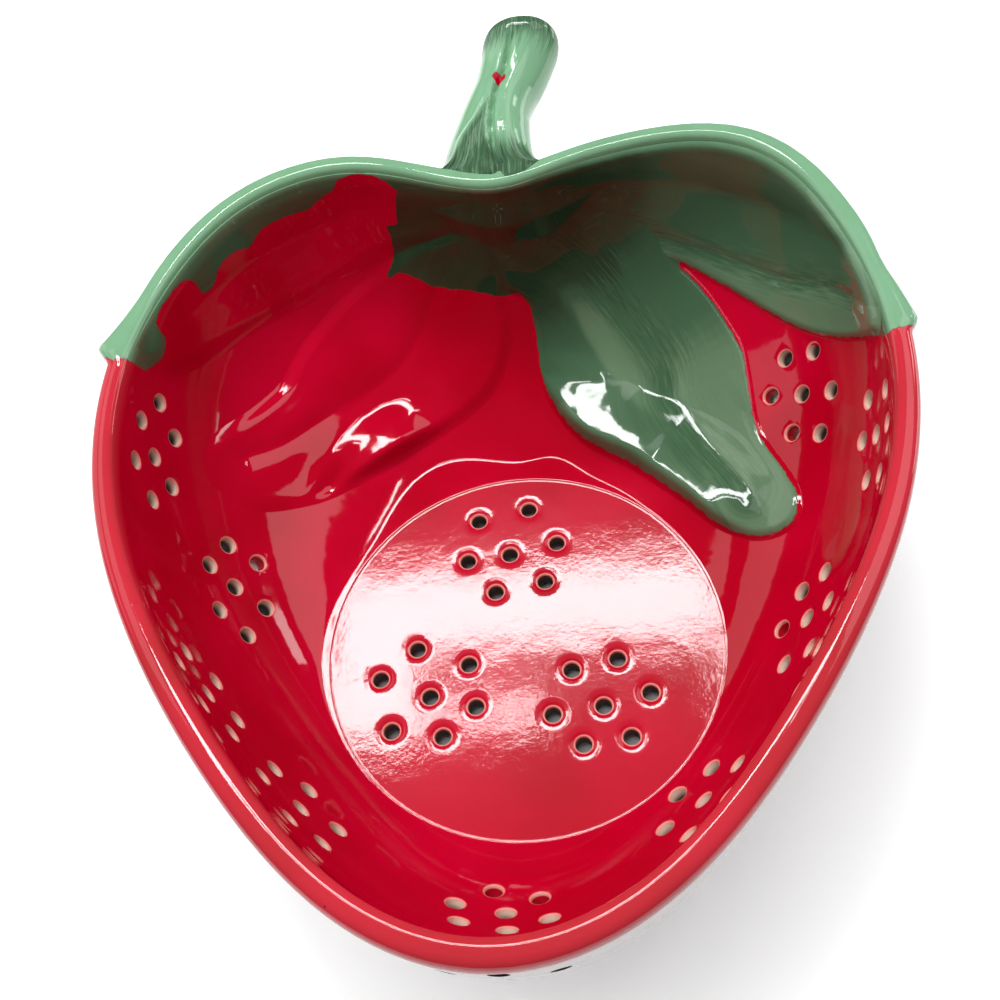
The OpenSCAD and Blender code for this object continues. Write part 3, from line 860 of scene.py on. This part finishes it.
def foot_swell(a, u, d, ends, middle, lean, bend, tilt, bend_round, long):
    """Extra height in mm where a leaf leans on the floor and so lies flatter than the wall.

    It starts this long above the floor and ends at two angles. At its middle, an angle and mm up
    the wall, it has a lean, which bends with each mm up and down; tilt and bend_round do the same
    round the bowl.
    """
    up = gap_to(WALL_FOOT, a, u)[0]
    down = (long - up + np.hypot(long - up, 2.0)) / 2
    thick = lean * down + bend * ((long - middle[1]) * down - down * down / 2)
    over = np.clip((a - middle[0]) * WALL_FOOT_MM, -24, 16)
    thick = thick + (tilt * over - bend_round * over ** 2 / 2) * smoothstep(down, 1, 8)
    thick = thick - 1.2 * (1 - smoothstep(up, long - 2, long + 16))
    between_ends = smoothstep(a, ends[0], ends[0] + 12) * (1 - smoothstep(a, ends[1] - 20, ends[1]))
    return thick * smoothstep(d, -1.0, 2.5) * between_ends


def leaf(name, outline, creases, body, shade, skirt=2.6, stroke=0, brush=3.5, sunk=0.75, foot=None):
    """A raised leaf on the inner wall. Creases are (line, depth, half width); body is its height.

    The skirt is how far its edge runs on into the wall. The brush strokes follow the crease whose
    number is given, and are strongest this near to it.
    """
    ring = rounded(on_wall(outline + outline[:1]))[:-1]
    a0, u0 = ring.min(0) - LEAF_MARGIN
    a1, u1 = ring.max(0) + LEAF_MARGIN
    u0, u1 = max(u0, 0.0), min(u1, HIGH_U)
    mid_a, mid_u = (a0 + a1) / 2, (u0 + u1) / 2
    wide = math.radians(a1 - a0) * reach(mid_a)
    high = np.linalg.norm(inner(mid_a, u1) - inner(mid_a, u0)) * 1.15
    deselect()
    bpy.ops.mesh.primitive_grid_add(x_subdivisions=int(wide / LEAF_STEP),
                                    y_subdivisions=int(high / LEAF_STEP), size=2)
    obj = bpy.context.object
    obj.name = obj.data.name = name
    co = coords(obj)
    a = a0 + (a1 - a0) * (co[:, 0] + 1) / 2
    u = u0 + (u1 - u0) * (co[:, 1] + 1) / 2
    d = gap_to(np.vstack([ring, ring[:1]]), a, u)[0]
    d = np.where(inside(ring, a, u), d, -d)
    height = body(a, d)
    lines = [gap_to(rounded(on_wall(line)), a, u) for line, _, _ in creases]
    for (near, _, _), (_, deep, wide) in zip(lines, creases):
        height = height - deep * np.exp(-(near / wide) ** 1.6) * smoothstep(d, -0.5, 4)
    z = inner(a, u)[:, 2]
    from_crown = np.hypot((a - CROWN_A) * CROWN_MM, z - CROWN_Z)
    if foot:
        height = height + foot_swell(a, u, d, **foot)
    height = np.where(height > 0, height * (1 - sunk * (1 - smoothstep(from_crown, 8, 26))), height)
    place(obj, inner(a, u) + into_bowl(a, u) * height[:, None])
    near, along, side = lines[stroke]
    # Near the crown every leaf's tone fades to near black, partly as painted shade
    tone = BLACK_TONE + (shade(a, z, lines) - BLACK_TONE) * smoothstep(from_crown, 9, 36)
    write_values(obj, green_reach=green_reach(a, u), rim=mint_at(z), shade=tone,
                 brush=0.06 + 0.7 * np.exp(-(near / brush) ** 2) * smoothstep(along, 10, 40))
    stroke_map(obj, near * side, along)
    # Cut away what lies outside the skirt, then give the sheet its thickness into the wall
    only(obj)
    spare = d < -skirt
    for f in obj.data.polygons:
        f.select = all(spare[v] for v in f.vertices)
    bpy.context.tool_settings.mesh_select_mode = (False, False, True)
    bpy.ops.object.mode_set(mode="EDIT")
    bpy.ops.mesh.delete(type="FACE")
    bpy.ops.object.mode_set(mode="OBJECT")
    n = into_bowl(mid_a, mid_u)
    if np.mean([f.normal.dot(Vector(n)) for f in obj.data.polygons[:200]]) < 0:
        in_edit(obj, bpy.ops.mesh.flip_normals)
    apply_modifier(obj, "SOLIDIFY", thickness=LEAF_THICK * MM, offset=-1)
    obj.data.materials.append(leaf_glaze)
    smooth(obj, 60)
    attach(obj, "root")
    return obj


leaf_glaze = glaze_material("leaf_glaze")
# How deep the skirt dips into the wall, in mm
SKIRT_SUNK = 0.35


def pillow(high, edge=1.3, rise=9.0, share=0.62):
    """Height of a leaf: a soft step at its edge, then a low swell towards its middle."""
    def body(a, d):
        step = high * share * smoothstep(d, -edge, edge * 1.1)
        swell = high * (1 - share) * smoothstep(d, 0, rise)
        return step + swell - SKIRT_SUNK * smoothstep(-d, edge * 0.6, edge * 2)
    return body


# The large leaf in the middle, which hangs down the wall to the floor, with two creases
CREASE_1 = (
    (1.2, 0.588), (5.5, 0.448), (9.1, 0.338), (12.3, 0.242), (15.9, 0.173), (21, 0.117), (28.1, 0.086),
    (36.7, 0.072), (46.7, 0.066), (55.8, 0.066))
CREASE_2 = (
    (2, 0.84), (4.3, 0.721), (8.7, 0.625), (12.1, 0.512), (15.7, 0.392), (19.9, 0.295), (24.4, 0.228),
    (29.2, 0.181), (31.7, 0.146), (32.4, 0.129), (38.8, 0.112), (47.7, 0.108), (55.8, 0.119),
    (61, 0.128))


# Tone of the middle leaf: paler along it, away from the crown, with lighter and darker facets either side of
# its creases, painted light and shade from how each facet faces
def centre_shade(a, z, lines):
    (near_1, along_1, side_1), (near_2, along_2, side_2) = lines
    across = near_2 * side_2
    fade = smoothstep(along_2, 34, 80)
    between_creases = smoothstep(near_1 * side_1, -1.0, 2.5) * smoothstep(along_1, -10, 30)
    left_of_second = smoothstep(-across, 3, 12) * smoothstep(along_2, 12, 38)
    tone = 0.10 + 0.32 * fade + 0.40 * between_creases * (1 - 0.6 * fade)
    tone = tone + 0.42 * left_of_second * (1 - 0.4 * fade)
    return tone + 0.33 * smoothstep(across, -1, 2) * smoothstep(along_2, 60, 78)


centre_outline = ((-4.0, 0.80), (-2.5, 0.60), (-0.3, 0.47)) + CENTRE_LEFT + CENTRE_RIGHT + (
    (22.5, 0.50), (20.0, 0.62), (17, 0.74), (11, 0.82), (4, 0.85))
centre_foot = dict(ends=(-5, 75), middle=(24.5, 19.9), lean=0.31, bend=0.0110, tilt=0.0,
                   bend_round=0.0070, long=30)
centre = leaf("centre_leaf", centre_outline, [(CREASE_1, 0.10, 2.6), (CREASE_2, 0.45, 3.2)],
              pillow(2.0, share=0.9), centre_shade, stroke=1, brush=7, foot=centre_foot)
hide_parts("leaf_centre")

# The leaf under the right shoulder of the lip, folded along its top
RIGHT_CREASE = (
    (6, 0.78), (14.1, 0.608), (18.4, 0.562), (22.8, 0.524), (27.3, 0.49), (32.2, 0.482), (37.3, 0.509),
    (42.7, 0.569), (50.1, 0.729), (54.2, 0.82))
RIGHT_FOLD = (
    (4, 0.885), (14.1, 0.846), (19.2, 0.796), (24.3, 0.753), (29.6, 0.741), (35.5, 0.767),
    (42.9, 0.845), (48.9, 0.912))


# Tone of the right leaf: paler along it and below its crease, with a painted shadow darkening it along its
# fold
def right_shade(a, z, lines):
    near, along, side = lines[0]
    low = smoothstep(-near * side, -1, 6)
    fold_shadow = np.exp(-(lines[1][0] / 4.5) ** 2)
    tone = 0.16 + 0.40 * smoothstep(along, 4, 45) + 0.22 * low * smoothstep(along, 10, 45)
    tone = tone - 0.20 * fold_shadow * smoothstep(along, 30, 60) + 0.10 * smoothstep(along, 70, 110)
    return tone + 0.12 * smoothstep(z, 58, 67)


right_outline = ((-2, 0.86), (4, 0.72), (12, 0.60), (18, 0.52), (22, 0.46)) + RIGHT_LOW[:-3] + (
    (61.2, 0.86), (61.5, 0.93), (54, 0.955), (40, 0.96), (28, 0.96), (14, 0.96), (5, 0.95))
right = leaf("right_rim_leaf", right_outline, [(RIGHT_CREASE, 0.6, 2.4), (RIGHT_FOLD, 0.5, 4.0)],
             pillow(2.0, rise=10, share=0.8), right_shade, brush=4.5)
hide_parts("leaf_right_rim")

# The leaf under the left shoulder, red with a green fringe
LEFT_VALLEY = (
    (-20.9, 0.529), (-25.6, 0.49), (-30.9, 0.475), (-34.3, 0.486), (-39.4, 0.515), (-45.6, 0.57),
    (-51, 0.642))
LEFT_FOLD = ((-6, 0.86), (-13, 0.80), (-20, 0.76), (-27, 0.73), (-34, 0.72), (-41, 0.74), (-47, 0.79))


def fringe_shade(a, z, lines):
    return green_tone(a, z)


left_rim_outline = ((2, 0.86), (-6, 0.76), (-14, 0.62)) + LEFT_VALLEY + (
    (-55.0, 0.74), (-56.5, 0.84), (-55.5, 0.92), (-48, 0.955), (-36, 0.96), (-22, 0.96), (-8, 0.95))
left_rim = leaf("left_rim_leaf", left_rim_outline, [(LEFT_FOLD, 0.55, 4.5)], pillow(2.1, edge=3.2, rise=14),
                fringe_shade, skirt=6.2)
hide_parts("leaf_left_rim")

# The leaf on the left wall, under a ridge
LEFT_RIDGE = ((-20.1, 0.459), (-25.3, 0.405), (-29.7, 0.362), (-34.5, 0.334), (-37.4, 0.318), (-41.3, 0.296),
              (-46.3, 0.315), (-51.1, 0.35), (-56.4, 0.41), (-60.2, 0.425), (-62.7, 0.375), (-63.1, 0.288))
LEFT_LOW = (
    (-2, 0.416), (-1.1, 0.331), (-2.2, 0.241), (-4.4, 0.168), (-7.4, 0.116), (-14.7, 0.054),
    (-22.7, 0.029), (-32, 0.031), (-41.4, 0.053), (-51.1, 0.09), (-57.8, 0.149), (-61.8, 0.21))
LEFT_CREASE = (
    (-8, 0.6), (-10.5, 0.49), (-12.4, 0.416), (-14.5, 0.317), (-17.4, 0.243), (-20.4, 0.191),
    (-24.3, 0.16), (-29.9, 0.148), (-35.8, 0.158), (-44.7, 0.193), (-50.3, 0.23), (-55.5, 0.295))
left_outline = ((0, 0.70), (-1, 0.52)) + LEFT_LOW + LEFT_RIDGE[::-1] + ((-15, 0.57), (-9, 0.68), (-4, 0.76))
soft_leaf = pillow(1.9, edge=2.2, rise=10, share=0.85)


def left_body(a, d):
    """The tip of this leaf was smoothed down until it hardly shows."""
    high = soft_leaf(a, d)
    return np.where(high > 0, high * (0.35 + 0.65 * smoothstep(a, -62, -44)), high)


left_foot = dict(ends=(-60, -12), middle=(-32.9, 14.4), lean=0.31, bend=0.0154, tilt=0.08,
                 bend_round=0.0109, long=24)
left = leaf("left_leaf", left_outline, [(LEFT_CREASE, 0.6, 2.6)], left_body, fringe_shade, skirt=4.6,
            foot=left_foot)
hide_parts("leaf_left")

# The raised patch under the stem, where the leaves meet
CROWN_CREASE = ((0, 0.96), (1, 0.80), (3, 0.62))


def crown_body(a, d):
    return 2.7 * smoothstep(d, -1.5, 15) - 0.5 * smoothstep(-d, 0.5, 2.5)


# The crown is near black, partly as painted shade, and paler up towards the lip
def crown_shade(a, z, lines):
    return BLACK_TONE + 0.26 * smoothstep(z, 60, 68)


crown_outline = (
    (-13, 0.88), (-12, 0.76), (-7, 0.66), (0, 0.60), (8, 0.62), (14, 0.70), (17, 0.80), (15, 0.90),
    (8, 0.955), (0, 0.96), (-8, 0.95))
crown = leaf("raised_crown", crown_outline, [(CROWN_CREASE, 0.4, 5.0)], crown_body, crown_shade, sunk=0.0)
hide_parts("crown")

# Stem
# A solid curved handle of clay that grows from the lip, with one flat face and one round ridge,
# bent up and to the side. It is brushed with thin green glaze, and a dot of red fell on it.

STEM_ROOT_Y = CENTRE_Y + float(reach(0.0))
STEM_END_Y = 126.2
STEM_LONG = STEM_END_Y - STEM_ROOT_Y
# Sideways bend and half width, at shares of the stem's length
STEM_SHARES = (0, 0.2, 0.45, 0.7, 0.9, 1.0)
STEM_X = (-2.0, -2.0, 0.0, 5.3, 8.7, 7.4)
STEM_WIDE = (11.6, 11.6, 9.6, 10.2, 11.1, 10.9)
# Height of its top, at shares of its rows, and half its thickness, less at the root
TOP_SHARES = (-0.2, 0.06, 0.24, 0.74, 1.0, 1.2)
STEM_TOP = (66.8, 70.3, 74.9, 79.3, 86.2, 91.5)
STEM_HALF, ROOT_THINNER, ROOT_WIDER = 8.0, 3.8, 6.0
# The crease between flat and ridge, and the edge left of it, across the stem from -1 to 1
CREASE_SHARES, CREASE_AT = (0, 0.08, 0.21, 0.48, 0.74, 1), (0.10, 0.10, 0.05, -0.05, -0.18, -0.20)
EDGE_SHARES, EDGE_AT = (0, 0.05, 0.18, 0.30, 0.42), (-0.78, -0.71, -0.59, -0.28, -0.14)
SQUARE = 0.88
RED_DOT, RED_DOT_R = (2.1, 105.6), 1.7
SIDES, ROWS = 180, 110
deselect()
bpy.ops.mesh.primitive_uv_sphere_add(segments=SIDES, ring_count=ROWS, radius=1)
stem = bpy.context.object
stem.name = stem.data.name = "stem"
co = coords(stem)
t = np.degrees(np.arccos(np.clip(co[:, 2], -1, 1))) / 180
round_a = np.arctan2(co[:, 1], co[:, 0])


def through(s, shares, values):
    """A soft line through values at the named shares of a length."""
    return sum(np.interp(s + k * 0.03, shares, values) for k in range(-3, 4)) / 7


# The stem's root end follows the lip's inner edge, rising a little to the crease
row = (1 - t) ** 1.35
y = STEM_ROOT_Y - LIP_W + (STEM_LONG + LIP_W) * row
s = np.clip((y - STEM_ROOT_Y) / STEM_LONG, 0, 1)
end = np.sqrt(np.clip(1 - np.clip((s - 0.84) / 0.16, 0, 1) ** 2.4, 0, 1))
root_end = np.sqrt(1 - (1 - np.clip(row / 0.06, 0, 1)) ** 2)
half = STEM_HALF - ROOT_THINNER * np.exp(-row / 0.09)
top = through(row, TOP_SHARES, STEM_TOP)
wide = through(s, STEM_SHARES, STEM_WIDE) + ROOT_WIDER * np.exp(-s / 0.06)
wide = wide * end * (0.6 + 0.4 * root_end)
tall = half * end * root_end
c, sn = np.cos(round_a), np.sin(round_a)
across = np.sign(c) * np.abs(c) ** SQUARE
above = np.sign(sn) * np.abs(sn) ** SQUARE
# Section: a flat face on the left, a crease, a round ridge on the right. Near the root a second
# edge leaves the crease and runs down to the left, with a dished three-cornered face between
crease = np.interp(s, CREASE_SHARES, CREASE_AT)
edge = np.interp(s, EDGE_SHARES, EDGE_AT)
near_root = smoothstep(s, 0.48, 0.34)
groove = np.exp(-((across - crease - 0.07) / 0.07) ** 2) * smoothstep(s, 0.86, 0.66)
brow = np.exp(-((across - crease + 0.10) / 0.13) ** 4)
fall = np.clip(crease - 0.12 - across, 0, 1) ** 1.3 * smoothstep(s, 1.0, 0.8)
second = np.exp(-((across - edge) / 0.09) ** 2) * near_root
dish = smoothstep(across, edge, edge + 0.14) * (1 - smoothstep(across, crease - 0.14, crease - 0.04))
dish = dish * near_root
ridge = np.exp(-((across - crease - 0.5) / 0.25) ** 2)
shape = -0.22 * groove + 0.05 * brow - 0.20 * fall + 0.09 * second - 0.10 * dish + 0.05 * ridge
above = above + np.where(sn > 0, shape * np.minimum(1, 2.5 * sn), 0) * smoothstep(s, 0.99, 0.80)
x = through(s, STEM_SHARES, STEM_X) + wide * across
# The root follows the bend of the lip, and a web runs on from the crease over it
lip_a = np.linspace(-24, 24, 97)
lip_line = polar(lip_a, reach(lip_a) - LIP_W, 0)
near_lip = np.exp(-(row / 0.12) ** 1.5)
y = y + (np.interp(x, lip_line[:, 0], lip_line[:, 1]) - STEM_ROOT_Y + LIP_W) * near_lip
web = smoothstep(across, -0.8, crease - 0.05) * (1 - smoothstep(across, crease - 0.02, crease + 0.12))
y = y + 2.2 * web * np.exp(-(row / 0.08) ** 2)
place(stem, np.stack([x, y, top - half + tall * above], -1))
outwards(stem)
co = coords(stem) / MM
# Darker glaze at the root and at the end, painted shade on the dished face, mint between them, and the red
# dot
worn = smoothstep(s, 0.02, 0.22) * smoothstep(s, 0.92, 0.70)
from_dot = np.hypot(co[:, 0] - RED_DOT[0], co[:, 1] - RED_DOT[1]) * np.where(sn > 0, 1, 9)
write_values(stem, green_reach=from_dot - RED_DOT_R, rim=0.20 + 0.70 * worn * (1 - 0.85 * dish),
             shade=np.full(len(co), 0.60), brush=np.full(len(co), 0.9))
stroke_map(stem, round_a * 9, row * 60, wide=3.0, long=60)
stem.data.materials.append(glaze_material("stem_glaze"))
smooth(stem, 60)
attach(stem, "root")
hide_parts("stem_handle")

# Table, lamps and camera
# A white table under a soft overhead light, burnt out to white by a painted glow that is weaker near the
# bowl, as painted shade round it. A frame of lamps
# overhead mirrors in the glaze, and the camera looks down from the tip of the fruit.

deselect()
bpy.ops.mesh.primitive_plane_add(size=4, location=(0, 0, 0))
table = bpy.context.object
table.name = "white_table"
TABLE_WHITE, FULL_WHITE = (0.9, 0.9, 0.9), (1.0, 1.0, 1.0)
cloth, tree, shader = new_material("white_table", Base_Color=TABLE_WHITE, Roughness=0.9,
                                   Emission_Color=FULL_WHITE)
# The camera and the glaze see the table burnt out by a painted glow, weaker round the bowl so that a faint
# shadow and painted shade stay there
path = node(tree, "ShaderNodeLightPath")
spot = node(tree, "ShaderNodeVectorMath", operation="DISTANCE")
tree.links.new(node(tree, "ShaderNodeTexCoord").outputs["Object"], spot.inputs[0])
spot.inputs[1].default_value = (0, CENTRE_Y * MM, 0)
painted_glow = times(tree, ramp(tree, spot.outputs["Value"], 0.05, 0.06),
              ramp(tree, spot.outputs["Value"], 0.09, 0.18, 0.30, 0.75))
seen = plus(tree, path.outputs["Is Camera Ray"], path.outputs["Is Glossy Ray"])
tree.links.new(times(tree, painted_glow, seen), shader.inputs["Emission Strength"])
table.data.materials.append(cloth)

world = bpy.context.scene.world or bpy.data.worlds.new("studio")
bpy.context.scene.world = world
world.use_nodes = True
tree = world.node_tree
back = tree.nodes["Background"]
feed(tree, back.inputs["Color"], FULL_WHITE)
# White to the camera, a soft fill to matt surfaces and nearly black in the glaze
CAMERA_GLOW, FILL_GLOW, GLAZE_GLOW = 0.98, 0.25, 0.02
path = node(tree, "ShaderNodeLightPath")
strength = plus(tree, times(tree, path.outputs["Is Camera Ray"], CAMERA_GLOW), GLAZE_GLOW)
strength = plus(tree, strength, times(tree, path.outputs["Is Diffuse Ray"], FILL_GLOW))
tree.links.new(strength, back.inputs["Strength"])

TARGET = Vector((1.53, -25.70, 70)) * MM
EYE = Vector((31.41, -173.91, 302.81)) * MM


def lamp(name, at, aim, size, watts):
    """A flat lamp, as wide and high as its size, at a place and turned to its aim."""
    data = bpy.data.lights.new(name, "AREA")
    data.shape = "RECTANGLE"
    data.size, data.size_y = size
    data.energy = watts
    obj = bpy.data.objects.new(name, data)
    bpy.context.scene.collection.objects.link(obj)
    obj.location = at
    obj.rotation_mode = "QUATERNION"
    obj.rotation_quaternion = (Vector(aim) - Vector(at)).to_track_quat("-Z", "Y")
    return obj


# A square frame of light overhead, its back and left bars the widest, which mirrors in the floor
# as a broken square, with a dim panel inside it: place, size and brightness
FRAME_Z = 1.5
FRAME = (("frame_back", -0.161, 0.760, 0.634, 0.154, 22), ("frame_left", -0.406, 0.607, 0.163, 0.152, 22),
         ("frame_front", -0.225, 0.577, 0.200, 0.045, 20), ("frame_right", 0.159, 0.607, 0.027, 0.152, 22),
         ("frame_middle", -0.116, 0.648, 0.416, 0.065, 0.8))
for name, x, y, w, h, bright in FRAME:
    bar = lamp(name, (x, y, FRAME_Z), (x, y, 0), (w, h), bright * math.pi * w * h)
    bar.rotation_quaternion = (1, 0, 0, 0)
# Soft panels: a window at the back right, with a brighter strip under it, one at the back left and
# two low ones at the sides
lamp("window", (0.333, 0.303, 0.655), TARGET, (0.40, 0.30), 0.62)
lamp("strip_right", (0.55, 0.44, 0.46), TARGET, (0.10, 0.12), 0.23)
lamp("high_left", (-0.87, 0.90, 1.5), (-0.87, 0.90, 0), (0.45, 0.8), 1.4)
lamp("low_left", (-1.1, 0.65, 0.50), (0, 0, 0.05), (0.8, 1.0), 2.4)
lamp("low_right", (1.1, 0.65, 0.20), (0, 0, 0.05), (0.7, 0.30), 2.4)
# A broad light from above, which the glaze doesn't mirror
fill = lamp("soft_top", (-0.18, 0.02, 0.95), TARGET, (0.8, 0.8), 6.0)
fill.visible_glossy = False

# The camera's direction from the bowl, with the picture rolled a little to the left
azimuth, elevation, roll = math.radians(11.4), math.radians(57), math.radians(-13.41)
flat = math.cos(elevation)
away = Vector((math.sin(azimuth) * flat, -math.cos(azimuth) * flat, math.sin(elevation)))
right_v = Vector((math.cos(azimuth), math.sin(azimuth), 0))
up_v = away.cross(right_v)
across_v = right_v * math.cos(roll) + up_v * math.sin(roll)
upward_v = -right_v * math.sin(roll) + up_v * math.cos(roll)
camera_data = bpy.data.cameras.new("camera")
camera_data.sensor_width, camera_data.lens = 36, 45
camera = bpy.data.objects.new("camera", camera_data)
bpy.context.scene.collection.objects.link(camera)
camera.rotation_mode = "QUATERNION"
camera.location = EYE
camera.rotation_quaternion = Matrix((across_v, upward_v, away)).transposed().to_quaternion()
bpy.context.scene.camera = camera
bpy.context.scene.view_settings.view_transform = "Standard"
